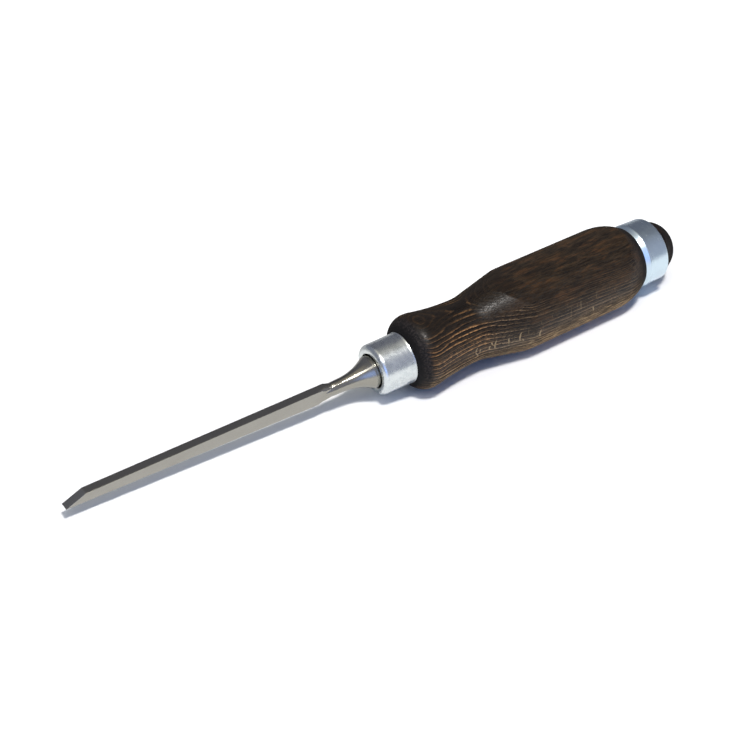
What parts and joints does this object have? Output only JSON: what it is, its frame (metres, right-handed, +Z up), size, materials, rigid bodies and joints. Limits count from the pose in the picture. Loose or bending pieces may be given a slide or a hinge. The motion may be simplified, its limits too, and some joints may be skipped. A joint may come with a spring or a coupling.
{
  "type": "bench chisel",
  "caption": "Narrow bench chisel: slim ground steel blade, flared neck, steel ferrule, turned dark wood handle with broad flats, steel striking hoop.",
  "frame": {"origin": "middle of the chisel's length and width, on the surface that it lies on", "axes": "+X along the handle axis from the cutting edge to the butt, +Z up, out of the upper broad face of the handle"},
  "size_m": [0.2588, 0.0328, 0.0286],
  "materials": {
    "blade_steel": "ground and polished tool steel",
    "ferrule_steel": "satin plated steel",
    "handle_wood": "dark stained open-grained wood, waxed",
    "hoop_steel": "bright drawn steel"
  },
  "bodies": {
    "root": {"blade": "blade_steel", "ferrule": "ferrule_steel", "handle": "handle_wood", "striking_hoop": "hoop_steel"}
  },
  "joints": []
}
